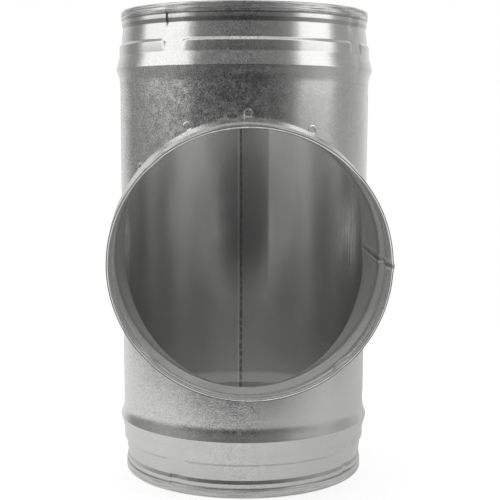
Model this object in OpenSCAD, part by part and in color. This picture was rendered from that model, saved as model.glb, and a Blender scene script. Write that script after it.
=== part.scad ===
// Equal duct tee in galvanised sheet steel, standing on the lower end of its run.
// The run goes up along +Z and the branch points along -Y. The origin is the centre of the lower end.

/* [Tee] */
// Outer radius of the run, and of the lands that slide into a duct
run_r = 79.5; // [60:0.5:120]
// Thickness of the sheet
sheet_t = 0.6; // [0.5:0.05:0.8]
// Distance from the side of the branch to each end of the run
shoulder = 69.4; // [60:0.2:140]
// Play between the collar's wall and the inside of its flange
collar_play = 0.15; // [0.1:0.05:8]
// Length of plain collar between the foot of its stop bead and the run
collar_plain = 0.3; // [0.1:0.1:40]

/* [Spigot ends] */
// Width of the hem that is folded back at each end
hem_w = 5.5; // [4:0.5:7]
// Radius of the folded corners of the hem
fold_r = 0.4; // [0.2:0.05:0.5]
// How far the band behind the hem lies under the land
band_drop = 1.9; // [1.2:0.1:3]
// Width of that band
band_w = 3.1; // [2:0.1:4]
// How far the seal groove's floor lies under the land, beside the band
groove_drop = 2.5; // [2:0.1:4]
// Width of the seal groove's floor
groove_w = 9.6; // [6:0.2:12]
// How far the floor has risen where it meets the step
groove_rise = 1.1; // [0.4:0.1:1.4]
// Width of the slope from the band down into the groove
groove_slope = 2.4; // [1:0.1:3]
// Width of the step from the groove up to the land
step_w = 1.6; // [1:0.1:2.5]
// Width of the land that fits the duct
land_w = 5.6; // [4:0.1:7]

/* [Stop bead] */
// Distance from an end to the crest of its bead
bead_at = 35.9; // [35:0.1:48]
// Height of the bead over the land
bead_h = 2.1; // [1:0.1:4]
// Radius of the bead's crest
crest_r = 3; // [2:0.2:6]
// Angle of the slope in front of the crest
front_slope = 15; // [10:5:20]
// Angle of the slope behind the crest on the run
run_slope = 20; // [15:5:35]
// Angle of the slope behind the crest on the collar
collar_slope = 45; // [35:5:50]

/* [Forming flats] */
// Width of the flat that is left between two forming jaws
flat_w = 12; // [6:0.5:18]
// How far a flat reaches into the land
flat_land = 2.2; // [1:0.1:2.4]
// Angle of the run's first flat, from the branch towards +X
run_flat_angle = 57; // [50:1:75]
// Angle of the branch's first flat, from the top of its mouth towards +X
branch_flat_angle = 47; // [20:1:70]
// Number of flats around an end
flat_count = 4; // [2:1:4]

/* [Seams and saddle] */
// Width of the lap in each welded seam
lap_w = 6; // [4:0.5:9]
// Width of the saddle flange inside the run
flange_w = 10; // [9:0.5:12]
// Angle from the branch's top or bottom at which the flange runs out into the collar's own wall
flange_end = 67; // [60:1:68]
// Play between the collar and the run
seat_gap = 0.05; // [0.02:0.01:0.1]
// Number of spot welds around the branch
spot_count = 14; // [8:1:20]
// Radius of the mark of a spot weld
spot_r = 2.6; // [1.5:0.1:3]
// Depth of that mark
spot_depth = 0.15; // [0.05:0.01:0.2]
// Distance from the edge of the run's hole to the middle of a spot weld
spot_inset = 5.8; // [4:0.1:7]

/* [Hidden] */
$fn = 180;
// How far a cut reaches past what it cuts
past = 1;
// Small step that keeps a cut clear of a corner
hair = 0.05;
// Steps in the curves of the saddle
saddle_steps = 60;
// Angle at which the collar's ring starts, clear of its flats, its seam and its saddle's tips
plain_angle = 20;
// Step of the arcs in the sheet's outline, in degrees
arc_step = 5;
fold_step = 15;
// Half the turn over which the direction of the hole's edge is taken
edge_turn = 1;

// Radii of a spigot end
band_r = run_r - band_drop;
groove_r = run_r - groove_drop;
groove_top_r = groove_r + groove_rise;
hem_r = band_r + sheet_t;
crest_top_r = run_r + bead_h;

// Distances from the end of a spigot
band_end = hem_w + band_w;
groove_start = band_end + groove_slope;
groove_end = groove_start + groove_w;
land_start = groove_end + step_w;
land_end = land_start + land_w;
flat_end = land_start + flat_land;

// The run, its hole and the collar
flange_outer_r = run_r - sheet_t - seat_gap;
flange_inner_r = flange_outer_r - sheet_t;
collar_r = flange_inner_r - collar_play;
hole_r = collar_r + seat_gap;
run_h = 2 * (collar_r + shoulder);
branch_z = run_h / 2;
branch_len = run_r + collar_plain + bead_foot(collar_r, collar_slope).y;

// Angles that stand for widths along the run's wall
flat_turn = flat_w / run_r * 180 / PI;
wall_turn = sheet_t / run_r * 180 / PI;
lap_turn = lap_w / run_r * 180 / PI;

// Outlines are lists of [radius, distance from the end], and run upward along the outside of the sheet

// Point on the round crest of a stop bead, turned by an angle from its top
function crest_point(a) = [crest_top_r - crest_r + crest_r * cos(a), bead_at + crest_r * sin(a)];

// Foot of the slope behind a bead, which comes down to back_r at the angle slope
function bead_foot(back_r, slope) =
    let (p = crest_point(slope))
    [back_r, p.y + (p.x - back_r) / tan(slope)];

// Outside of a spigot from its hem to its land
function groove_line() = [
    [band_r, hem_w],
    [band_r, band_end],
    [groove_r, groove_start],
    [groove_top_r, groove_end],
    [run_r, land_start]
];

// Outside of a spigot from its hem to the foot of its bead
function spigot(back_r, slope) = concat(
    groove_line(),
    [[run_r, land_end]],
    [for (a = [-front_slope : arc_step : slope]) crest_point(a)],
    [bead_foot(back_r, slope)]
);

// The folded end, from the hem's raw edge round to the inside of the sheet
function hem_fold() = concat(
    [[hem_r, hem_w]],
    [for (a = [0 : fold_step : 90]) [hem_r - fold_r + fold_r * cos(a), fold_r - fold_r * sin(a)]],
    [for (a = [90 : fold_step : 180]) [band_r - sheet_t + fold_r + fold_r * cos(a), fold_r - fold_r * sin(a)]]
);

function reversed(list) = [for (i = [len(list) - 1 : -1 : 0]) list[i]];

// The same points at the upper end of the run
function at_top(line) = [for (p = line) [p.x, run_h - p.y]];

function unit(v) = v / norm(v);
function side_of(line, i) = let (d = unit(line[i + 1] - line[i])) [-d.y, d.x];

// An upward line moved by t towards the axis, with mitred corners
function inward(line, t) = [
    for (i = [0 : len(line) - 1])
        let (
            a = side_of(line, max(i - 1, 0)),
            b = side_of(line, min(i, len(line) - 2))
        )
        line[i] + (a + b) / (1 + a * b) * t
];

// Outside of the run from one hem to the other
function run_line() =
    let (end = spigot(run_r, run_slope))
    concat(end, reversed(at_top(end)));

// Outside of the collar from the hem at its mouth to the run's axis
function collar_line() = concat(spigot(collar_r, collar_slope), [[collar_r, branch_len]]);

// Outline of the lap, which is welded under the sheet from the fold of the hem on
function lap_outline(line) =
    let (whole = concat([[band_r, fold_r]], line))
    concat(inward(whole, sheet_t / 2), reversed(inward(whole, 2 * sheet_t)));

// Edge of the run's hole, unrolled: distance around the run and height over the branch's axis,
// where a is the angle around the branch from its top
function hole_edge(a) = [run_r * asin(hole_r * sin(a) / run_r) * PI / 180, hole_r * cos(a)];

// Angle around the run and height of a point on its wall at a distance beside that edge
function beside_hole(a, beside) =
    let (
        d = unit(hole_edge(a + edge_turn) - hole_edge(a - edge_turn)),
        p = hole_edge(a) + [-d.y, d.x] * beside
    )
    [p.x / run_r * 180 / PI, p.y];

// Where the collar's wall meets the inside of the flange at height z over the branch's axis:
// seen from the side, the saddle is a hyperbola
function saddle_y(z) = sqrt(flange_inner_r * flange_inner_r - collar_r * collar_r + z * z);

// Turns +X to an angle around the run, from the branch towards +X
module at_angle(a) {
    rotate([0, 0, a - 90]) children();
}

// Puts what stands on its mouth onto the branch
module on_branch() {
    translate([0, -branch_len, branch_z])
        rotate([-90, 0, 0])
            children();
}

// Puts what is made for the run's lower end onto both ends
module on_both_ends() {
    children();
    translate([0, 0, run_h])
        mirror([0, 0, 1])
            children();
}

// Part of a ring, turn degrees wide, with its middle at angle a
module arc_piece(a, turn, outline) {
    at_angle(a)
        rotate([0, 0, -turn / 2])
            rotate_extrude(angle = turn)
                polygon(outline);
}

// Strip of sheet under the seam that joins the two edges of a rolled sheet
module seam_lap(a, line) {
    arc_piece(a, lap_turn, lap_outline(line));
}

function flat_angles(first) = [for (i = [0 : flat_count - 1]) first + i * 360 / flat_count];

// Outside of a flat: the sheet stays straight from the end of the groove to its place in the land
function flat_line() = [[groove_top_r + hair, groove_end], [run_r + hair, flat_end]];

// Sheet of a flat, with walls up to the land at its two sides
module flat_fill(a) {
    step = [[groove_top_r, groove_end], [run_r, land_start], [run_r, flat_end]];
    arc_piece(a, flat_turn, concat(inward(step, sheet_t / 2), reversed(inward(flat_line(), sheet_t))));
}

// What is cut off outside a flat, between those walls
module flat_cut(a) {
    out_r = run_r + past;
    arc_piece(a, flat_turn - 2 * wall_turn, concat(flat_line(), [[out_r, flat_end], [out_r, groove_end]]));
}

// The rolled run with its formed ends and its seam, before the hole is cut
module run_tube() {
    difference() {
        union() {
            rotate_extrude()
                polygon(concat(
                    run_line(),
                    at_top(hem_fold()),
                    reversed(inward(run_line(), sheet_t)),
                    reversed(hem_fold())
                ));
            on_both_ends()
                for (a = flat_angles(run_flat_angle))
                    flat_fill(a);
        }
        on_both_ends()
            for (a = flat_angles(run_flat_angle))
                flat_cut(a);
    }
    seam_lap(180, concat(run_line(), [[band_r, run_h - fold_r]]));
}

// Mark of a spot weld on the outside of the run
module spot_mark(a) {
    place = beside_hole(a, spot_inset);
    at_angle(place.x)
        translate([run_r - spot_depth, 0, branch_z + place.y])
            rotate([0, 90, 0])
                cylinder(r = spot_r, h = past);
}

module run_body() {
    color([0.72, 0.73, 0.74])
        difference() {
            run_tube();
            translate([0, 0, branch_z])
                rotate([90, 0, 0])
                    cylinder(r = hole_r, h = run_r + past);
            for (i = [0 : spot_count - 1])
                spot_mark(i * 360 / spot_count);
        }
}

// The rolled collar with its formed mouth and its seam, as far as the run's axis
module collar_tube() {
    difference() {
        union() {
            at_angle(plain_angle)
                rotate_extrude()
                    polygon(concat(
                        collar_line(),
                        reversed(inward(collar_line(), sheet_t)),
                        reversed(hem_fold())
                    ));
            for (a = flat_angles(branch_flat_angle))
                flat_fill(a);
        }
        for (a = flat_angles(branch_flat_angle))
            flat_cut(a);
    }
    seam_lap(90, collar_line());
}

// What is cut off the collar behind the saddle
module saddle_cut() {
    reach = collar_r + past;
    step = 2 * reach / saddle_steps;
    rotate([90, 0, 90])
        translate([0, branch_z, -run_r])
            linear_extrude(2 * run_r)
                polygon(concat(
                    [for (i = [0 : saddle_steps]) let (z = i * step - reach) [-saddle_y(z), z]],
                    [[past, reach], [past, -reach]]
                ));
}

// Outline of the flange as the branch sees it
module flange_outline() {
    stop_x = hole_r * sin(flange_end);
    difference() {
        polygon([
            for (i = [0 : saddle_steps - 1])
                let (p = beside_hole(i * 360 / saddle_steps, flange_w))
                [flange_outer_r * sin(p.x), p.y]
        ]);
        circle(collar_r - sheet_t);
        for (s = [-1, 1])
            translate([s * (stop_x + run_r / 2), 0])
                square([run_r, run_h], center = true);
    }
}

// Flange that is turned out from the collar against the inside of the run
module saddle_flange() {
    intersection() {
        difference() {
            cylinder(r = flange_outer_r, h = run_h);
            translate([0, 0, -past])
                cylinder(r = flange_inner_r, h = run_h + 2 * past);
        }
        translate([0, 0, branch_z])
            rotate([90, 0, 0])
                linear_extrude(run_r)
                    flange_outline();
    }
}

module branch_collar() {
    color([0.76, 0.77, 0.78]) {
        difference() {
            on_branch() collar_tube();
            saddle_cut();
        }
        saddle_flange();
    }
}

run_body();
branch_collar();
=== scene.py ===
import math

import bpy
import numpy as np
from mathutils import Matrix, Vector


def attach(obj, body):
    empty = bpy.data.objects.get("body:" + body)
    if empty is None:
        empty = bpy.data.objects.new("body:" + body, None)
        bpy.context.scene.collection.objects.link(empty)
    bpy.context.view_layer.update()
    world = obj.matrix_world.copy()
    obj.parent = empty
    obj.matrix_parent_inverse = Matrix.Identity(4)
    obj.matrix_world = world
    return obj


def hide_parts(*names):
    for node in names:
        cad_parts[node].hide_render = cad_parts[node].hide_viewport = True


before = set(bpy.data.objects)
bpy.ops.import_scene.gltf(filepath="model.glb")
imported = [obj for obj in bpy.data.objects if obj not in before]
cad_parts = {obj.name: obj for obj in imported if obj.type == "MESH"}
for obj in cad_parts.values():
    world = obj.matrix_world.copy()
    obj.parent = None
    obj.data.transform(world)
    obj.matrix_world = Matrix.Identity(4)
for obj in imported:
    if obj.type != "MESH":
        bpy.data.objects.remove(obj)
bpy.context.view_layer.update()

# Sizes in millimetres, as in the solids
RUN_R = 79.5
SHEET = 0.6
SEAT = 0.05
COLLAR_GAP = 0.15
COLLAR_TO_END = 69.4
FLANGE_OUT = RUN_R - SHEET - SEAT
FLANGE_IN = FLANGE_OUT - SHEET
COLLAR_R = FLANGE_IN - COLLAR_GAP
HOLE_R = COLLAR_R + SEAT
RUN_H = 2 * (COLLAR_R + COLLAR_TO_END)
AXIS_Z = RUN_H / 2
FLANGE_W = 10.0
LAP_HALF = 3.0
LAP_FROM = 0.6
LAP_FADE = 2.0
OUT_BEND = 0.5
IN_BEND = 0.75

# A spigot's radii, and distances from its end
BAND_R = 77.6
HEM_R = BAND_R + SHEET
HEM_W = 5.5
RAW_EDGE = HEM_W - 0.01
BAND_END = 8.6
GROOVE_R = 77.0
GROOVE_AT = 11.0
GROOVE_BEND_AT = 15.3
GROOVE_TOP_R = 78.1
STEP_AT = 20.1
STEP_W = 1.7
LAND_END = 27.8
BEAD_AT = 35.9
CREST_R = 1.3
CREST_TOP = 81.6
CREST_FROM = -15.27
NOSE_D = 1.2
PAST_FOOT = 4

# Back slope of the bead in degrees, and the rounding of its foot
RUN_BACK = (20, 16.0)
COLLAR_BACK = (45, 3.0)
COLLAR_FREE = 0.3

# Flats of the forming jaws: angles of their centre lines, and sizes
RUN_FLATS = [57 + 90 * k for k in range(4)]
BRANCH_FLATS = [47 + 90 * k for k in range(4)]
FLAT_HALF = 6.0
FLAT_BLEND = 1.4
FLAT_FROM = STEP_AT - 0.6
FLAT_TO = 28.2
FLARE = 2.2
FLARE_FROM = STEP_AT + 2.9
FLARE_LENGTH = 3.0
SLOPE_SHEET = 1.02 * SHEET

# Places that the jaws press into the hem and the band: depth, and its share across one place
HEM_PRESS = 0.8
HEM_PRESS_FROM = 2.0
BAND_PRESS = 1.1
BAND_PRESS_END = 14.0
PRESS_FADE = 3.0
PRESS_AT = [-6.6, -5.8, -1.4, 6.6]
PRESS_SHARE = [0.0, 0.7, 1.0, 0.0]

# Dents: angle, distance from the end, width, length, depth
LOW_DENTS = [(-35, 37.5, 6, 4, 0.25), (60, 36.0, 4, 3, 0.15)]
TOP_DENTS = [(-33, 37.0, 9, 4, 0.35), (57, 36.5, 4, 3, 0.3), (57, 30, 3, 4, 0.2)]
COLLAR_DENTS = [
    (139, 3, 4.5, 7, 0.42), (139, 22, 6, 6, 0.6), (228, 3, 4.5, 7, 0.36), (227, 22, 6, 6, 0.4),
    (47, 3, 5, 6, 0.3), (317, 3, 5, 6, 0.25), (90, 2, 2.2, 6, -0.6),
]

# The mouth is slightly wider than high, and lies slightly to one side
OVAL = 0.017
OVAL_LENGTH = 34
OVAL_SHIFT = 20

# Weld spots around the branch
SPOT_COUNT = 14
SPOT_INSET = 5.8
SPOT_WANDER = 2.2
FAR = 99.0

# Fineness of the meshes
FLAT_COLUMNS = (1.4, 3.4, 5.0, 5.8, 6.6, 7.4, 8.2, 9.2)
SEAM_COLUMNS = (0.0, 0.6, 1.2, LAP_HALF - 0.1, LAP_HALF + 0.05)
LEAST_GAP = 0.3
CREST_POINTS = 6
FOOT_STEPS = 5
WALL_STEPS = 50
HOLE_TURN_R = 79.4
HOLE_BESIDES = {1: (0, 0.4, 1.2, 2.4, 3.4, 4.6, 5.8, 7.0, 8.4, 10), 0: (0, 2, 5, 9)}
HOLE_STEPS = {1: 5, 0: 4}
COLLAR_STEPS = 10
BEND_STEPS = 5
FLANGE_STEPS = (0.25, 0.6, 1.0)
HALF_STEP = 0.5
KEY_SHIFT = 0.000317
SHARP_ANGLE = 40


def smooth(t):
    t = np.clip(t, 0.0, 1.0)
    return t * t * (3 - 2 * t)


def unit(v):
    return v / np.linalg.norm(v)


def around(a, centre):
    return (a - centre + 180) % 360 - 180


# Distance in millimetres around the outside from a line at the angle centre
def arc_from(a, centre):
    return around(a, centre) * math.pi / 180 * RUN_R


# A line through corners, each of which is rounded by an arc: corners are (radius, distance, rounding, steps)
def rounded_line(corners):
    out = []
    for i, (r, d, rounding, steps) in enumerate(corners):
        p = np.array([r, d])
        if rounding == 0:
            out.append(p)
            continue
        a = np.array(corners[i - 1][:2])
        b = np.array(corners[i + 1][:2])
        u, w = unit(a - p), unit(b - p)
        half = math.acos(max(-1.0, min(1.0, float(u @ w)))) / 2
        reach = rounding / math.tan(half)
        start, end = p + u * reach, p + w * reach
        centre = p + unit(u + w) * rounding / math.sin(half)
        a0 = math.atan2(*(start - centre)[::-1])
        a1 = math.atan2(*(end - centre)[::-1])
        turn = (a1 - a0 + math.pi) % (2 * math.pi) - math.pi
        for k in range(steps + 1):
            t = a0 + turn * k / steps
            out.append(centre + rounding * np.array([math.cos(t), math.sin(t)]))
    return np.array(out)


# The same line moved towards the axis
def inward(line, t):
    side = np.diff(line, axis=0)
    side = side / np.linalg.norm(side, axis=1)[:, None]
    side = np.stack([-side[:, 1], side[:, 0]], axis=1)
    before = np.vstack([side[:1], side])
    after = np.vstack([side, side[-1:]])
    return line + (before + after) / (1 + (before * after).sum(axis=1))[:, None] * t


# Outside of a spigot from the band behind its hem to the foot of its bead
def spigot_line(back_r, slope, foot_rounding):
    crest = [
        (CREST_TOP - CREST_R + CREST_R * math.cos(a), BEAD_AT + CREST_R * math.sin(a))
        for a in np.radians(np.linspace(CREST_FROM, slope, CREST_POINTS))
    ]
    foot_d = crest[-1][1] + (crest[-1][0] - back_r) / math.tan(math.radians(slope))
    corners = [
        (BAND_R, HEM_W + 0.05, 0, 0),
        (BAND_R + 0.02, 6.4, 0, 0),
        (BAND_R + 0.08, BAND_END, 1.2, 2),
        (GROOVE_R, GROOVE_AT, 1.6, 2),
        (GROOVE_R + 0.75, GROOVE_BEND_AT, 0, 0),
        (GROOVE_TOP_R, STEP_AT, 0.8, 3),
        (RUN_R, STEP_AT + STEP_W, 0.9, 3),
        (RUN_R, LAND_END, 4.0, 3),
    ]
    corners += [(r, d, 0, 0) for r, d in crest]
    corners += [(back_r, foot_d, foot_rounding, FOOT_STEPS), (back_r, foot_d + PAST_FOOT, 0, 0)]
    return rounded_line(corners)[:-1], foot_d


# The closed end of a spigot as rows of (radius, distance, side), where side is 1 outside and 0 inside
def end_rows(line):
    inner = inward(np.vstack([[BAND_R, NOSE_D], line]), SHEET)[::-1]
    nose = [
        (BAND_R - SHEET, NOSE_D, 0, 0),
        (BAND_R - SHEET, 0.2, 0.05, 1),
        (BAND_R - 0.55, 0.0, 0.03, 1),
        (BAND_R - 0.1, 0.0, 0.1, 2),
        (HEM_R, 0.7, 0.3, 3),
        (HEM_R, NOSE_D, 0, 0),
    ]
    fold = [tuple(v) for v in rounded_line(nose)[1:]]
    hem = [(HEM_R, 3.0), (HEM_R, HEM_W - 0.2), (HEM_R - 0.06, HEM_W - 0.06), (HEM_R - 0.2, HEM_W)]
    hem += [(BAND_R + 0.02, HEM_W)]
    rows = [(r, d, 0) for r, d in inner] + [(r, d, 1) for r, d in fold + hem]
    return rows + [(r, d, 1) for r, d in line]


# Columns around a tube in degrees: one a degree, with more at the sides of flats and seams
def columns(flats, seam):
    degree = 180 / math.pi / RUN_R
    extra = []
    for centres, offsets in ((flats, FLAT_COLUMNS), ([seam], SEAM_COLUMNS)):
        for c in centres:
            for s in offsets:
                extra += [c - s * degree, c + s * degree]
    extra = np.unique(np.round(np.mod(np.array(extra) + 180, 360) - 180, 6))
    base = np.arange(-180.0, 180.0, 1.0)
    gap = np.abs(around(base[:, None], extra[None, :])).min(axis=1)
    keep = (gap > LEAST_GAP) | (np.abs(base) == 90)
    return np.sort(np.unique(np.concatenate([base[keep], extra])))


# How far a point lies in one of the flats, from 0 to 1. A flat flares where it leaves the groove.
def flat_share(a, flats, d):
    half = FLAT_HALF + FLARE * float(smooth((FLARE_FROM - d) / FLARE_LENGTH))
    share = np.zeros_like(a)
    for f in flats:
        share = np.maximum(share, smooth((half + FLAT_BLEND - np.abs(arc_from(a, f))) / (2 * FLAT_BLEND)))
    return share


# Radius of a spigot at each column for one row, with its flats, the lap of its seam and its dents.
# A pressed place has its steep side at its lower angles with hand 1, and at its higher ones with hand -1.
def row_radius(r, d, side, a, flats, seam, dents, hand):
    out = np.full_like(a, r)
    if FLAT_FROM < d < FLAT_TO:
        chord = GROOVE_TOP_R + (d - STEP_AT) * (RUN_R - GROOVE_TOP_R) / (LAND_END - STEP_AT)
        chord -= 0 if side else SLOPE_SHEET
        out += flat_share(a, flats, d) * min(chord - r, 0.0)
    pressed = 0.0
    if side and d <= RAW_EDGE:
        pressed = HEM_PRESS * float(smooth((d - HEM_PRESS_FROM) / PRESS_FADE)) * (r > BAND_R + 0.1)
    elif RAW_EDGE < d < BAND_PRESS_END:
        pressed = BAND_PRESS * float(smooth((BAND_PRESS_END - d) / PRESS_FADE))
    for f in flats:
        out -= pressed * np.interp(hand * arc_from(a, f), PRESS_AT, PRESS_SHARE)
    if side == 0:
        out -= SHEET * (np.abs(arc_from(a, seam)) < LAP_HALF) * smooth((d - LAP_FROM) / LAP_FADE)
    for centre, at, width, length, depth in dents:
        out -= depth * np.exp(-((arc_from(a, centre) / width) ** 2) - ((d - at) / length) ** 2)
    return out


# Points and faces of one piece, gathered grid by grid. Each point carries four marks for the material:
# its place from the nearest weld spot (two values), 1 outside or 0 inside, and its distance from the end.
class Shell:
    def __init__(self):
        self.points, self.quads, self.marks, self.count = [], [], [], 0

    def grid(self, p, wrap=False, flip=False, marks=None, skin=1.0):
        rows, cols = p.shape[:2]
        index = np.arange(rows * cols).reshape(rows, cols) + self.count
        if wrap:
            index = np.hstack([index, index[:, :1]])
        q = np.stack([index[:-1, :-1], index[:-1, 1:], index[1:, 1:], index[1:, :-1]], axis=-1)
        q = q.reshape(-1, 4)
        self.quads.append(q[:, ::-1] if flip else q)
        self.points.append(p.reshape(-1, 3))
        if marks is None:
            marks = np.full((rows, cols, 2), FAR)
        skin = np.broadcast_to(np.reshape(skin, (-1, 1, 1)), (rows, cols, 1))
        self.marks.append(np.concatenate([marks, skin], axis=-1).reshape(-1, 3))
        self.count += rows * cols

    def build(self, name, from_end):
        p = np.vstack(self.points)
        marks = np.vstack(self.marks)
        marks = np.hstack([marks, from_end(p)[:, None]])
        key = np.round(p + KEY_SHIFT, 4)
        _, first, same = np.unique(key, axis=0, return_index=True, return_inverse=True)
        same = same.reshape(-1)
        quads = same[np.vstack(self.quads)]
        p, marks = p[first] / 1000, marks[first]
        faces = []
        for q in quads.tolist():
            ring = [v for i, v in enumerate(q) if v != q[i - 1]]
            if len(ring) > 2:
                faces.append(ring)
        mesh = bpy.data.meshes.new(name)
        mesh.from_pydata(p.tolist(), [], faces)
        mesh.validate()
        for i, layer in enumerate(("spot_u", "spot_v", "skin", "from_end")):
            data = mesh.attributes.new(layer, "FLOAT", "POINT").data
            data.foreach_set("value", marks[:, i].astype(np.float32))
        mesh.shade_smooth()
        mesh.set_sharp_from_angle(angle=math.radians(SHARP_ANGLE))
        obj = bpy.data.objects.new(name, mesh)
        bpy.context.scene.collection.objects.link(obj)
        return obj


def on_run(r, a, z):
    t = np.radians(a)
    return np.stack(np.broadcast_arrays(r * np.sin(t), -r * np.cos(t), z), axis=-1)


# Edge of a round hole of radius hole in a tube of radius tube, unrolled: angle around the run, height
def hole_edge(a, tube, hole):
    t = np.radians(a)
    return np.degrees(np.arcsin(hole * np.sin(t) / tube)), hole * np.cos(t)


# A line at a distance beside that edge
def beside_edge(a, beside, tube, hole):
    scale = math.pi / 180 * tube
    s0, z0 = hole_edge(a - HALF_STEP, tube, hole)
    s1, z1 = hole_edge(a + HALF_STEP, tube, hole)
    ds, dz = (s1 - s0) * scale, z1 - z0
    size = np.hypot(ds, dz)
    s, z = hole_edge(a, tube, hole)
    return s - dz / size * beside / scale, z + ds / size * beside


# Each point's place from the nearest weld spot
def spot_marks(s, h, tube):
    number = np.arange(SPOT_COUNT)
    turns = number * 360 / SPOT_COUNT + SPOT_WANDER * np.sin(number)
    spot_s, spot_h = beside_edge(turns, SPOT_INSET, tube, HOLE_R)
    u = (s[..., None] - spot_s) * math.pi / 180 * tube
    v = h[..., None] - spot_h
    near = np.argmin(u * u + v * v, axis=-1)[..., None]
    return np.concatenate([np.take_along_axis(u, near, -1), np.take_along_axis(v, near, -1)], axis=-1)


# The front half of the run's wall: rings from the edge of the hole to the border of that half
def hole_rings(turn, border_s, border_z, side, tube):
    s_rows, z_rows = [], []
    for b in HOLE_BESIDES[side]:
        s, h = beside_edge(turn, b, tube, HOLE_R)
        s_rows.append(s)
        z_rows.append(h)
    last_s, last_z = s_rows[-1], z_rows[-1]
    for k in range(1, HOLE_STEPS[side] + 1):
        t = k / HOLE_STEPS[side]
        s_rows.append(last_s * (1 - t) + border_s * t)
        z_rows.append(last_z * (1 - t) + border_z * t)
    return np.array(s_rows), np.array(z_rows)


def make_run():
    shell = Shell()
    seam = 180
    line, _ = spigot_line(RUN_R, *RUN_BACK)
    rows = end_rows(line)
    a = columns(RUN_FLATS, seam)
    for top, dents in ((False, LOW_DENTS), (True, TOP_DENTS)):
        p = np.stack([
            on_run(row_radius(r, d, side, a, RUN_FLATS, seam, dents, 1), a, RUN_H - d if top else d)
            for r, d, side in rows
        ])
        shell.grid(p, wrap=True, flip=top, skin=[float(side) for r, d, side in rows])
    front = a[(a >= -90) & (a <= 90)]
    back = np.concatenate([a[a >= 90], a[a <= -90] + 360])
    across, up = len(front), WALL_STEPS
    for side, tube, start in ((1, RUN_R, rows[-1][1]), (0, RUN_R - SHEET, rows[0][1])):
        z = np.linspace(start, RUN_H - start, up + 1)
        lap = 0 if side else SHEET * (np.abs(arc_from(back, seam)) < LAP_HALF)
        p = on_run((tube - lap) * np.ones((up + 1, 1)), back[None, :], z[:, None])
        shell.grid(p, flip=side == 0, skin=float(side))
        border_s = np.concatenate([front, np.full(up, 90.0), front[::-1][1:], np.full(up, -90.0)[1:]])
        border_z = np.concatenate([np.full(across, z[-1]), z[::-1][1:], np.full(across - 1, z[0]), z[1:-1]])
        border_z -= AXIS_Z
        turn = np.degrees(np.arctan2(border_s / HOLE_TURN_R, border_z / HOLE_R))
        s, h = hole_rings(turn, border_s, border_z, side, tube)
        marks = spot_marks(s, h, tube) if side else None
        shell.grid(on_run(tube, s, h + AXIS_Z), wrap=True, flip=side == 0, marks=marks, skin=float(side))
        if side:
            outer_lip = on_run(tube, s[0], h[0] + AXIS_Z)
            outer_turn = turn
        else:
            s_in, h_in = hole_edge(outer_turn, tube, HOLE_R)
            shell.grid(np.stack([on_run(tube, s_in, h_in + AXIS_Z), outer_lip]), wrap=True)
    return shell.build("run_sheet", lambda p: np.minimum(p[:, 2], RUN_H - p[:, 2]))


# Rows of a bend from the collar's wall over its edge to the flange
def bend(wall, edge, flange):
    out = []
    for k in range(1, BEND_STEPS):
        t = k / BEND_STEPS
        out.append((1 - t) ** 2 * wall + 2 * t * (1 - t) * edge + t * t * flange)
    return out


def make_collar():
    shell = Shell()
    seam = 90
    line, foot = spigot_line(COLLAR_R, *COLLAR_BACK)
    length = RUN_R + COLLAR_FREE + foot
    rows = end_rows(line)
    a = columns(BRANCH_FLATS, seam)

    def place(r, along):
        fade = OVAL * smooth(1 - along / OVAL_LENGTH)
        t = np.radians(a)
        x = r * np.sin(t) * (1 + fade) + OVAL_SHIFT * fade
        z = r * np.cos(t) * (1 - fade)
        return np.stack(np.broadcast_arrays(x, along - length, z + AXIS_Z), axis=-1)

    def spigot_row(r, d, side):
        radius = row_radius(r, d, side, a, BRANCH_FLATS, seam, COLLAR_DENTS, -1)
        return place(radius, d * np.ones_like(a))

    # The wall, its bend and the start of the flange, for the collar's outside and inside
    def saddle(side, wall_r, tube, bend_r, start):
        s, _ = hole_edge(a, tube, wall_r)
        edge_y = length - tube * np.cos(np.radians(s))
        lap = 0.0 if side else SHEET * (np.abs(arc_from(a, seam)) < LAP_HALF)
        wall = []
        for k in range(1, COLLAR_STEPS + 1):
            along = start + (edge_y - bend_r - start) * k / COLLAR_STEPS
            wall.append(place((wall_r - lap) * np.ones_like(a), along))
        edge = place(wall_r * np.ones_like(a), edge_y)
        s, h = beside_edge(a, bend_r, tube, wall_r)
        flange = on_run(tube, s, h + AXIS_Z)
        return wall, bend(wall[-1], edge, flange), flange, s, h

    spigot = [spigot_row(*row) for row in rows]
    out_wall, out_bend, out_flange, out_s, out_h = saddle(1, COLLAR_R, FLANGE_OUT, OUT_BEND, rows[-1][1])
    in_wall, in_bend, in_flange, in_s, in_h = saddle(0, COLLAR_R - SHEET, FLANGE_IN, IN_BEND, rows[0][1])
    last_s, last_h = beside_edge(a, FLANGE_W, FLANGE_OUT, COLLAR_R)
    full = spigot + out_wall + out_bend + [out_flange]
    skin = [float(side) for r, d, side in rows] + [1.0] * (len(full) + len(FLANGE_STEPS) - len(rows))
    for tube, s, h, shares in (
        (FLANGE_OUT, out_s, out_h, FLANGE_STEPS),
        (FLANGE_IN, in_s, in_h, FLANGE_STEPS[::-1]),
    ):
        for k in shares:
            full.append(on_run(tube, s + (last_s - s) * k, h + (last_h - h) * k + AXIS_Z))
    full += [in_flange] + in_bend[::-1] + in_wall[::-1] + [spigot[0]]
    skin += [0.0] * (len(full) - len(skin))
    shell.grid(np.stack(full), wrap=True, skin=skin)
    return shell.build("collar_sheet", lambda p: p[:, 1] + length)


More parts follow.
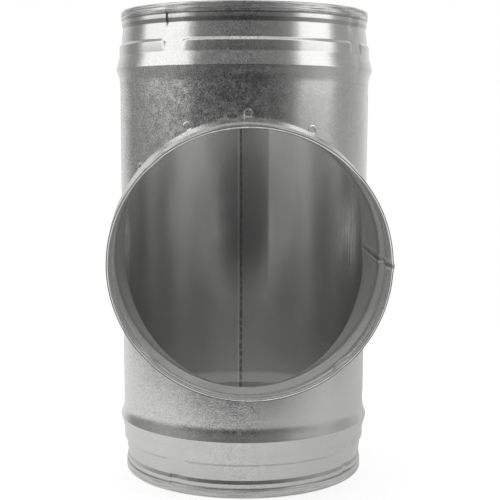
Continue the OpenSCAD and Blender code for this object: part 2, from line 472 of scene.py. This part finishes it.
# Short ways to add shader nodes: sockets go by name or as i0 and i1, and a node's settings have a _ first
class Nodes:
    def __init__(self, tree):
        self.tree = tree
        tree.nodes.clear()

    def add(self, kind, **sockets):
        node = self.tree.nodes.new(kind)
        for key, value in sockets.items():
            if key.startswith("_"):
                setattr(node, key[1:], value)
        for key, value in sockets.items():
            if not key.startswith("_"):
                self.set(node.inputs[int(key[1:]) if key[1:].isdigit() else key], value)
        return node

    def set(self, target, value):
        if isinstance(value, bpy.types.NodeSocket):
            self.tree.links.new(value, target)
        else:
            target.default_value = value

    def math(self, op, a, b=0.0, c=0.0):
        return self.add("ShaderNodeMath", _operation=op, i0=a, i1=b, i2=c).outputs[0]

    def range(self, value, a, b, c, d):
        return self.add("ShaderNodeMapRange", i0=value, i1=a, i2=b, i3=c, i4=d).outputs[0]

    def vector(self, op, a, b):
        return self.add("ShaderNodeVectorMath", _operation=op, i0=a, i1=b).outputs[0]

    def noise(self, where, scale, detail, roughness, output=0):
        node = self.add("ShaderNodeTexNoise", Vector=where, Scale=scale, Detail=detail, Roughness=roughness)
        return node.outputs[output]

    def attribute(self, name):
        return self.add("ShaderNodeAttribute", _attribute_name=name).outputs["Fac"]

    def mix(self, share, a, b):
        node = self.add("ShaderNodeMix", _data_type="FLOAT")
        for socket, value in zip((node.inputs[0], node.inputs[2], node.inputs[3]), (share, a, b)):
            self.set(socket, value)
        return node.outputs[0]

    def ramp(self, value, stops):
        node = self.add("ShaderNodeValToRGB")
        items = node.color_ramp.elements
        while len(items) < len(stops):
            items.new(0.5)
        for item, (at, level) in zip(items, stops):
            item.position = at
            item.color = (level, level, level, 1)
        self.set(node.inputs[0], value)
        return node.outputs[0]

    def times(self, a, b):
        return self.math("MULTIPLY", a, b)

    def plus(self, a, b):
        return self.math("ADD", a, b)

    # The value changed by a share of itself where the mask is 1
    def vary(self, value, mask, share):
        return self.times(value, self.math("MULTIPLY_ADD", mask, share, 1.0))

    # A noise from 0 to 1 as a change of either sign
    def either(self, noise, amount):
        return self.math("MULTIPLY_ADD", noise, amount, -amount / 2)

    # 1 within inner of the centre, 0 beyond outer of it
    def line(self, value, centre, inner, outer):
        return self.range(self.math("ABSOLUTE", self.math("SUBTRACT", value, centre)), inner, outer, 1.0, 0.0)


# Look of the sheet. Anisotropy blurs reflections along the seam more than around the tube.
RUN_TINT = (0.78, 0.78, 0.77)
RUN_METAL_INSIDE = 0.85
COLLAR_TINT = (0.79, 0.79, 0.78)
COLLAR_METAL_INSIDE = 0.65
ANISOTROPY = 0.7
BLUR_TURN = 0.25
BUMP_DEPTH = 0.00009

# Noises, each as (scale per metre, detail, roughness), and the reach of the ragged one in metres
RAGGED = (420.0, 3.0, 0.6)
RAGGED_REACH = 0.0014
SPANGLE_SCALE = 700.0
FINE = (1050.0, 3.0, 0.6)
DUST = (2000.0, 2.0, 0.5)
MOTTLE = (210.0, 5.0, 0.6)
SMUDGE = (16.0, 4.0, 0.55)
WANDER = (160.0, 2.0, 0.5)
UNEVEN = (90.0, 2.0, 0.5)
STREAK = (1.0, 4.0, 0.6)
THREAD = (1.0, 3.0, 0.7)
STREAK_LONG = 60.0
STREAK_THIN = 1500.0
THREAD_SCALES = (900.0, 900.0, 40.0)

# How strong the grain is, each as (from, to, level before, level after) in metres, or millimetres from an end
WORN_WANDER = 0.05
GRAIN_RIGHT = (0.002, 0.024, 2.2, 0.22)
GRAIN_LEFT = (-0.045, -0.020, 0.5, 1.0)
GRAIN_SPIGOT = (-0.035, -0.012, 0.15, 0.45)
GRAIN_WALL = (30.0, 44.0, 0.0, 1.0)
GRAIN_LOW = (0.07, 0.13, 0.45, 1.0)
GRAIN_INSIDE = 0.15
BACK_FROM = -0.02
BACK_TO = 0.03
BACK_GRAIN = 0.8

# Shares of the noises in tone, roughness and height
SPECK_FINE = 1.0
SPECK_DUST = 2.2
SPECK_MOTTLE = 0.5
SPECK_CELL = 0.12
SMUDGE_TONE = (0.3, 0.7, 0.96, 1.04)
STREAK_TONE = (0.3, 0.7, 0.98, 1.02)
ROUGH_CELL = 0.06
ROUGH_MOTTLE = (0.35, 0.65, -0.04, 0.04)
ROUGHNESS = (0.3, 0.7, 0.20, 0.25)
ROUGH_SKIN = (-0.02, 0.01)
HEIGHT_CELL = 0.15
HEIGHT_FINE = 0.5
HEIGHT_MOTTLE = 0.5
HEIGHT_STREAK = 0.06

# Hem, painted shade along its raw edge and painted shade in the fall into the groove, by distance from the
# end in millimetres
HEM_EDGE = (5.2, 5.7, 1.0, 0.0)
HEM_SCRAPE = 1.3
HEM_SCRAPE_UP = (0.10, 0.20, HEM_SCRAPE, 3.4)
HEM_ROUGH = 0.12
HEM_STREAK = 2.2
RAW_EDGE_SHADE_LINE = (5.9, 0.3, 0.6)
RAW_EDGE_SHADE = -0.40
GROOVE_SHADE_LINE = (9.8, 0.9, 1.4)
GROOVE_SHADE = -0.25

# Inside of the run: painted light towards the top, painted shade at the sides, and a painted dark reflection
# in a strip beside the seam
PAINTED_LIGHT_UP = (0.13, 0.21, 0.0, 0.32)
PAINTED_SHADE_SIDES = (0.045, 0.068, 0.0, -0.10)
REFLECTION_STRIP_LEFT = (-0.020, -0.008, 0.0, 1.0)
REFLECTION_STRIP_RIGHT = (0.0192, 0.0206, 1.0, 0.0)
REFLECTION_STRIP_UP = (0.10, 0.14, 0.0, -0.42)

# Mouth's rim: a painted highlight line on its flat front, darker and dull at its sides, and painted light and
# shade along the inside of the wall
LIP_HIGHLIGHT_LINE = (0.06, 0.14, 1.0, 0.0)
LIP_HIGHLIGHT_TONE = 0.25
RIM_FROM = (0.08, 0.16, 0.0, 1.0)
RIM_TO = (1.2, 2.0, 1.0, 0.0)
RIM_DULL = -0.8
RIM_ROUGH = 0.5
PAINTED_LIGHT_AT_STEP = (23.0, 31.0, 0.25, -0.18)
PAINTED_LIGHT_DEEP = (44.0, 54.0, 0.0, 0.30)

# Seam weld, in metres: a ragged dark strip of nuggets with a painted highlight line beside it
WELD_WANDER = 0.0012
WELD_STRIP = (0.0006, 0.0013, 1.0, 0.0)
WELD_PITCH = 0.006
WELD_START = 10.0
WELD_UNEVEN = 1.6
WELD_NUGGET = (0.5, 0.28, 0.38)
WELD_BASE = 0.40
WELD_BEAT = 0.55
WELD_TONE = -0.60
SEAM_HIGHLIGHT_LINE = (-0.0019, 0.0002, 0.0006)
SEAM_HIGHLIGHT_TONE = 0.45

# Weld spots, in millimetres from their centres
SPOT_RAGGED = 0.8
SPOT_RING = (2.45, 0.1, 0.65)
SPOT_PIT = (1.6, 2.3, 1.0, 0.0)
RING_TONE = 0.22
RING_HEIGHT = 1.6
PIT_TONE = -0.12
PIT_HEIGHT = -1.8

# Rubbed places on the inside: centre and reach in metres
RUN_RUBS = [((0.0735, 0.030, 0.150), (0.018, 0.017, 0.030)), ((-0.0780, 0.012, 0.148), (0.008, 0.012, 0.030))]
COLLAR_RUBS = [((0.0780, 0.004, 0.150), (0.010, 0.010, 0.026))]
RUB_RAGGED = 1.6
RUB_EDGE = (0.3, 1.2, 1.0, 0.0)
RUB_THREADS = (0.40, 0.58, 0.15, 1.0)
RUB_TONE = 0.60
RUB_METAL = -0.65


# What the steps below build up: tone, roughness, metal and height, with the inputs that they share
class Look:
    def __init__(self, n, seam_axis, inside):
        self.n = n
        self.is_run = seam_axis == "z"
        self.coord = n.add("ShaderNodeTexCoord").outputs["Object"]
        self.x, self.y, self.z = n.add("ShaderNodeSeparateXYZ", Vector=self.coord).outputs
        self.from_end = n.attribute("from_end")
        self.skin = n.attribute("skin")
        self.within = n.math("SUBTRACT", 1.0, self.skin)
        self.metal = n.math("MULTIPLY_ADD", self.skin, 1.0 - inside, inside)
        self.smudge = n.noise(self.coord, *SMUDGE)
        self.wander = n.noise(self.coord, *WANDER)
        self.worn = n.plus(self.x, n.either(self.smudge, WORN_WANDER))
        long, thin = STREAK_LONG, STREAK_THIN
        scales = (long, long, thin) if self.is_run else (long, thin, long)
        self.streak = n.noise(n.vector("MULTIPLY", self.coord, scales), *STREAK)

    def shade(self, mask, share):
        self.tone = self.n.vary(self.tone, mask, share)


# Spangle, mottling, dust and rolling streaks
def add_grain(look):
    n = look.n
    ragged = n.noise(look.coord, *RAGGED, output="Color")
    shift = n.add("ShaderNodeVectorMath", _operation="SCALE", i0=ragged, Scale=RAGGED_REACH)
    moved = n.vector("ADD", look.coord, shift.outputs[0])
    cells = n.add("ShaderNodeTexVoronoi", Vector=moved, Scale=SPANGLE_SCALE)
    cell = n.add("ShaderNodeSeparateColor", Color=cells.outputs["Color"]).outputs
    fine = n.noise(look.coord, *FINE)
    dust = n.noise(look.coord, *DUST)
    mottle = n.noise(look.coord, *MOTTLE)

    grit = n.times(n.range(look.worn, *GRAIN_RIGHT), n.range(look.worn, *GRAIN_LEFT))
    grit = n.times(grit, n.range(look.y, BACK_FROM, BACK_TO, 1.0, 0.0))
    grit = n.plus(grit, n.range(look.y, BACK_FROM, BACK_TO, 0.0, BACK_GRAIN))
    on_wall = n.range(look.from_end, *GRAIN_WALL)
    grit = n.times(grit, n.math("MAXIMUM", on_wall, n.range(look.worn, *GRAIN_SPIGOT)))
    grit = n.times(grit, n.math("MULTIPLY_ADD", look.skin, 1 - GRAIN_INSIDE, GRAIN_INSIDE))
    if look.is_run:
        grit = n.times(grit, n.range(look.z, *GRAIN_LOW))

    speck = n.either(fine, SPECK_FINE)
    speck = n.plus(speck, n.either(dust, SPECK_DUST))
    speck = n.plus(speck, n.either(mottle, SPECK_MOTTLE))
    speck = n.plus(speck, n.either(cell[0], SPECK_CELL))
    tone = n.math("MULTIPLY_ADD", speck, grit, 1.0)
    tone = n.times(tone, n.range(look.smudge, *SMUDGE_TONE))
    look.tone = n.times(tone, n.range(look.streak, *STREAK_TONE))

    rough = n.times(n.plus(n.either(cell[1], ROUGH_CELL), n.range(mottle, *ROUGH_MOTTLE)), grit)
    rough = n.plus(rough, n.range(look.smudge, *ROUGHNESS))
    look.rough = n.plus(rough, n.math("MULTIPLY_ADD", look.skin, *ROUGH_SKIN))

    grain = n.times(cell[2], HEIGHT_CELL)
    grain = n.plus(grain, n.times(fine, HEIGHT_FINE))
    grain = n.plus(grain, n.times(mottle, HEIGHT_MOTTLE))
    look.height = n.times(grain, grit)


# Scraped hem, with painted shade along its raw edge and in the fall into the groove
def add_hem(look):
    n = look.n
    hem = n.range(look.from_end, *HEM_EDGE)
    depth = n.range(look.z, *HEM_SCRAPE_UP) if look.is_run else HEM_SCRAPE
    look.shade(n.times(n.times(hem, depth), n.math("SUBTRACT", look.streak, 0.5)), 1.0)
    look.rough = n.plus(look.rough, n.times(hem, HEM_ROUGH))
    # Painted shade: darker lines along the raw edge of the hem and in the fall into the groove
    look.shade(n.line(look.from_end, *RAW_EDGE_SHADE_LINE), RAW_EDGE_SHADE)
    look.shade(n.line(look.from_end, *GROOVE_SHADE_LINE), GROOVE_SHADE)
    streaks = n.times(look.streak, n.math("MULTIPLY_ADD", hem, HEM_STREAK, HEIGHT_STREAK))
    look.height = n.plus(look.height, streaks)


def add_run_inside_painted_light(look):
    n = look.n
    # Painted light towards the top, painted shade at the sides and a painted dark reflection beside the seam,
    # on the inside only
    sides = n.range(n.math("ABSOLUTE", look.x), *PAINTED_SHADE_SIDES)
    strip = n.times(n.range(look.worn, *REFLECTION_STRIP_LEFT), n.range(look.x, *REFLECTION_STRIP_RIGHT))
    strip = n.times(strip, n.range(look.z, *REFLECTION_STRIP_UP))
    shade = n.plus(n.plus(n.range(look.z, *PAINTED_LIGHT_UP), sides), strip)
    look.shade(n.times(shade, look.within), 1.0)


def add_mouth(look):
    n = look.n
    lip = n.range(look.from_end, *LIP_HIGHLIGHT_LINE)
    rim = n.times(n.range(look.from_end, *RIM_FROM), n.range(look.from_end, *RIM_TO))
    look.shade(rim, RIM_DULL)
    look.metal = n.vary(look.metal, rim, RIM_DULL)
    look.rough = n.math("MULTIPLY_ADD", rim, RIM_ROUGH, look.rough)
    # Painted highlight: the lip's flat front made paler
    look.shade(lip, LIP_HIGHLIGHT_TONE)
    look.metal = n.vary(look.metal, lip, -1.0)
    # Painted light and shade along the inside of the collar's wall
    shade = n.plus(n.range(look.from_end, *PAINTED_LIGHT_AT_STEP), n.range(look.from_end, *PAINTED_LIGHT_DEEP))
    look.shade(n.times(shade, look.within), 1.0)


# Nuggets of the seam weld, on the side of the tube where the seam lies
def add_seam(look):
    n = look.n
    if look.is_run:
        across, side, along = look.x, look.y, look.z
    else:
        across, side, along = n.math("SUBTRACT", look.z, AXIS_Z / 1000), look.x, look.y
    on_side = n.math("GREATER_THAN", side, 0.0)
    near = n.math("ABSOLUTE", n.plus(across, n.either(look.wander, WELD_WANDER)))
    strip = n.times(n.range(near, *WELD_STRIP), on_side)
    beat = n.math("MULTIPLY_ADD", along, 1 / WELD_PITCH, WELD_START)
    beat = n.math("FRACT", n.plus(beat, n.times(n.noise(look.coord, *UNEVEN), WELD_UNEVEN)))
    nugget = n.line(beat, *WELD_NUGGET)
    weld = n.times(strip, n.math("MULTIPLY_ADD", nugget, WELD_BEAT, WELD_BASE))
    look.shade(weld, WELD_TONE)
    # Painted highlight: a pale line beside the seam weld
    look.shade(n.times(n.line(across, *SEAM_HIGHLIGHT_LINE), on_side), SEAM_HIGHLIGHT_TONE)
    look.height = n.plus(look.height, n.times(weld, -1.0))


def add_spots(look):
    n = look.n
    u, v = n.attribute("spot_u"), n.attribute("spot_v")
    far = n.math("SQRT", n.plus(n.times(u, u), n.times(v, v)))
    far = n.plus(far, n.either(look.wander, SPOT_RAGGED))
    ring = n.line(far, *SPOT_RING)
    pit = n.range(far, *SPOT_PIT)
    look.shade(ring, RING_TONE)
    look.shade(pit, PIT_TONE)
    look.height = n.plus(look.height, n.times(ring, RING_HEIGHT))
    look.height = n.plus(look.height, n.times(pit, PIT_HEIGHT))


# Paler rubbed places with upright threads
def add_rubs(look, rubs):
    n = look.n
    thread = n.noise(n.vector("MULTIPLY", look.coord, THREAD_SCALES), *THREAD)
    for centre, reach in rubs:
        away = n.vector("DIVIDE", n.vector("SUBTRACT", look.coord, centre), reach)
        far = n.add("ShaderNodeVectorMath", _operation="LENGTH", i0=away).outputs["Value"]
        far = n.plus(far, n.either(thread, RUB_RAGGED))
        rub = n.times(n.range(far, *RUB_EDGE), look.within)
        rub = n.times(rub, n.range(thread, *RUB_THREADS))
        look.shade(rub, RUB_TONE)
        look.metal = n.vary(look.metal, rub, RUB_METAL)


# Galvanised steel, with the tint of its outside and the share of metal on its inside
def galvanised(name, tint, seam_axis, inside, rubs):
    mat = bpy.data.materials.new(name)
    mat.use_nodes = True
    n = Nodes(mat.node_tree)
    look = Look(n, seam_axis, inside)
    add_grain(look)
    add_hem(look)
    if look.is_run:
        add_run_inside_painted_light(look)
    else:
        add_mouth(look)
    add_seam(look)
    if look.is_run:
        add_spots(look)
    add_rubs(look, rubs)

    colour = n.add("ShaderNodeVectorMath", _operation="SCALE", i0=tint, Scale=look.tone)
    wrap = n.add("ShaderNodeTangent", _direction_type="RADIAL", _axis=seam_axis.upper())
    bump = n.add("ShaderNodeBump", Height=look.height, Strength=1.0, Distance=BUMP_DEPTH)
    shader = n.add("ShaderNodeBsdfPrincipled", Roughness=look.rough, Metallic=look.metal)
    shader.inputs["Anisotropic"].default_value = ANISOTROPY
    shader.inputs["Anisotropic Rotation"].default_value = BLUR_TURN
    n.set(shader.inputs["Tangent"], wrap.outputs[0])
    n.set(shader.inputs["Base Color"], colour.outputs[0])
    n.set(shader.inputs["Normal"], bump.outputs[0])
    n.add("ShaderNodeOutputMaterial", Surface=shader.outputs[0])
    return mat


run = make_run()
collar = make_collar()
run_metal = galvanised("galvanised_run", RUN_TINT, "z", RUN_METAL_INSIDE, RUN_RUBS)
run.data.materials.append(run_metal)
collar_metal = galvanised("galvanised_collar", COLLAR_TINT, "y", COLLAR_METAL_INSIDE, COLLAR_RUBS)
collar.data.materials.append(collar_metal)
for obj, node in ((run, "run_body"), (collar, "branch_collar")):
    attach(obj, "root")
    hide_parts(node)

# Floor, in metres: a disc just under the foot, behind the object for the most part
FLOOR_R = 0.45
FLOOR_Y = 0.18
FLOOR_Z = -0.0002
FLOOR_SIDES = 96
FLOOR_WHITE = 0.66
FLOOR_GLOW = 0.62
FLOOR_SHINE = (-0.15, 0.15, 0.53, 0.19)
SHADE_UNDER_RUN = (RUN_R / 1000, RUN_R / 1000 + 0.001, 0.6, 1.0)


# White floor that keeps the shadow. It glows to the camera, and less to reflections, most on the left; that
# glow to reflections is painted light, and is weaker inside the run's foot as painted shade.
def make_floor():
    mesh = bpy.data.meshes.new("floor")
    turns = np.linspace(0, 2 * math.pi, FLOOR_SIDES + 1)[:-1]
    ring = [(FLOOR_R * math.cos(t), FLOOR_Y + FLOOR_R * math.sin(t), FLOOR_Z) for t in turns]
    mesh.from_pydata(ring, [], [list(range(FLOOR_SIDES))])
    floor = bpy.data.objects.new("floor", mesh)
    bpy.context.scene.collection.objects.link(floor)
    mat = bpy.data.materials.new("floor_paint")
    mat.use_nodes = True
    n = Nodes(mat.node_tree)
    path = n.add("ShaderNodeLightPath").outputs
    x, y, _ = n.add("ShaderNodeSeparateXYZ", Vector=n.add("ShaderNodeTexCoord").outputs["Object"]).outputs
    off_axis = n.math("SQRT", n.plus(n.math("POWER", x, 2.0), n.math("POWER", y, 2.0)))
    # Painted light in reflections, with painted shade inside the run's foot
    shine = n.times(n.range(x, *FLOOR_SHINE), n.range(off_axis, *SHADE_UNDER_RUN))
    seen = n.math("MAXIMUM", path["Is Camera Ray"], n.times(path["Is Glossy Ray"], shine))
    paint = n.add("ShaderNodeBsdfDiffuse", Color=(FLOOR_WHITE, FLOOR_WHITE, FLOOR_WHITE, 1))
    glow = n.add("ShaderNodeEmission", Strength=n.times(seen, FLOOR_GLOW))
    both = n.add("ShaderNodeAddShader", i0=paint.outputs[0], i1=glow.outputs[0])
    n.add("ShaderNodeOutputMaterial", Surface=both.outputs[0])
    mesh.materials.append(mat)


make_floor()

# Surroundings: brightness by direction around the object, where 0 degrees is the side that the branch
# points to. One list is for low directions, one for high ones.
LOW_SKY = [
    (-180, 0.82), (-150, 0.72), (-128, 0.27), (-100, 0.28), (-75, 0.30), (-50, 0.15), (-25, 0.07), (0, 0.05),
    (27, 0.08), (53, 0.28), (78, 0.46), (103, 0.36), (127, 0.48), (152, 0.74), (180, 0.82),
]
HIGH_SKY = [
    (-180, 0.82), (-150, 0.74), (-128, 0.29), (-105, 0.32), (-75, 0.33), (-50, 0.24), (-25, 0.18), (0, 0.155),
    (27, 0.19), (50, 0.29), (78, 0.40), (103, 0.36), (127, 0.50), (152, 0.76), (180, 0.82),
]
LOW_TO_HIGH = (0.05, 0.25, 0.0, 1.0)
TO_CEILING = (0.66, 0.95, 0.0, 1.0)
CEILING = (-0.6, 0.1, 1.1, 0.42)
SOFT_FILL = 0.6


# Soft studio surroundings: white to the camera, pale behind, darker on the side that the branch points to
def make_world():
    world = bpy.data.worlds.new("studio")
    bpy.context.scene.world = world
    world.use_nodes = True
    n = Nodes(world.node_tree)
    direction = n.add("ShaderNodeTexCoord").outputs["Generated"]
    x, y, z = n.add("ShaderNodeSeparateXYZ", Vector=direction).outputs
    turn = n.math("ARCTAN2", x, n.times(y, -1.0))
    at = n.math("MULTIPLY_ADD", turn, 0.5 / math.pi, 0.5)
    low, high = [n.ramp(at, [((t + 180) / 360, level) for t, level in sky]) for sky in (LOW_SKY, HIGH_SKY)]
    sides = n.mix(n.range(z, *LOW_TO_HIGH), low, high)
    whole = n.mix(n.range(z, *TO_CEILING), sides, n.range(y, *CEILING))
    path = n.add("ShaderNodeLightPath").outputs
    lit = n.mix(path["Is Glossy Ray"], SOFT_FILL, whole)
    shown = n.mix(path["Is Camera Ray"], lit, 1.0)
    sky = n.add("ShaderNodeBackground", Strength=shown, Color=(1, 1, 1, 1))
    n.add("ShaderNodeOutputWorld", Surface=sky.outputs[0])


make_world()

# Softboxes: name, place in metres, width, height and power. Each faces the run's axis at its own height,
# and has a wider faint one behind it for a soft edge.
SOFTBOXES = [
    ("left_softbox", (-0.534, -0.133, 0.745), 0.52, 0.84, 0.92),
    ("left_softbox_edge", (-0.535, -0.133, 0.745), 0.66, 0.88, 0.42),
    ("right_softbox", (0.486, -0.250, 0.705), 0.32, 0.84, 0.56),
    ("right_softbox_edge", (0.487, -0.251, 0.705), 0.43, 0.88, 0.29),
]


def make_lamps():
    for name, at, width, height, power in SOFTBOXES:
        data = bpy.data.lights.new(name, "AREA")
        data.shape = "RECTANGLE"
        data.size, data.size_y = width, height
        data.energy = power
        lamp = bpy.data.objects.new(name, data)
        bpy.context.scene.collection.objects.link(lamp)
        lamp.location = at
        axis = Vector((0, 0, at[2]))
        lamp.rotation_euler = (axis - Vector(at)).to_track_quat("-Z", "Y").to_euler()


make_lamps()

# Camera at the photograph's viewing angle: image in pixels, sensor in millimetres, place in metres
IMAGE_PX = 500
FOCAL_PX = 1104.13
SHIFT_PX = 49.3
SENSOR = 36.0
NEAR_CLIP = 0.01
FAR_CLIP = 20
CAMERA_AT = (-0.01935, -0.72369, 0.22305)
YAW = 1.86
PITCH = 8.81
ROLL = 0.19


def make_camera():
    data = bpy.data.cameras.new("camera")
    data.sensor_fit = "HORIZONTAL"
    data.sensor_width = SENSOR
    data.lens = FOCAL_PX / IMAGE_PX * SENSOR
    data.shift_y = SHIFT_PX / IMAGE_PX
    data.clip_start, data.clip_end = NEAR_CLIP, FAR_CLIP
    camera = bpy.data.objects.new("camera", data)
    bpy.context.scene.collection.objects.link(camera)
    yaw, pitch, roll = math.radians(YAW), math.radians(PITCH), math.radians(ROLL)
    forward = Vector((math.sin(yaw) * math.cos(pitch), math.cos(yaw) * math.cos(pitch), -math.sin(pitch)))
    turn = forward.to_track_quat("-Z", "Y").to_matrix().to_4x4()
    camera.matrix_world = Matrix.Translation(CAMERA_AT) @ turn @ Matrix.Rotation(roll, 4, "Z")
    bpy.context.scene.camera = camera


make_camera()
bpy.context.scene.view_settings.view_transform = "Standard"
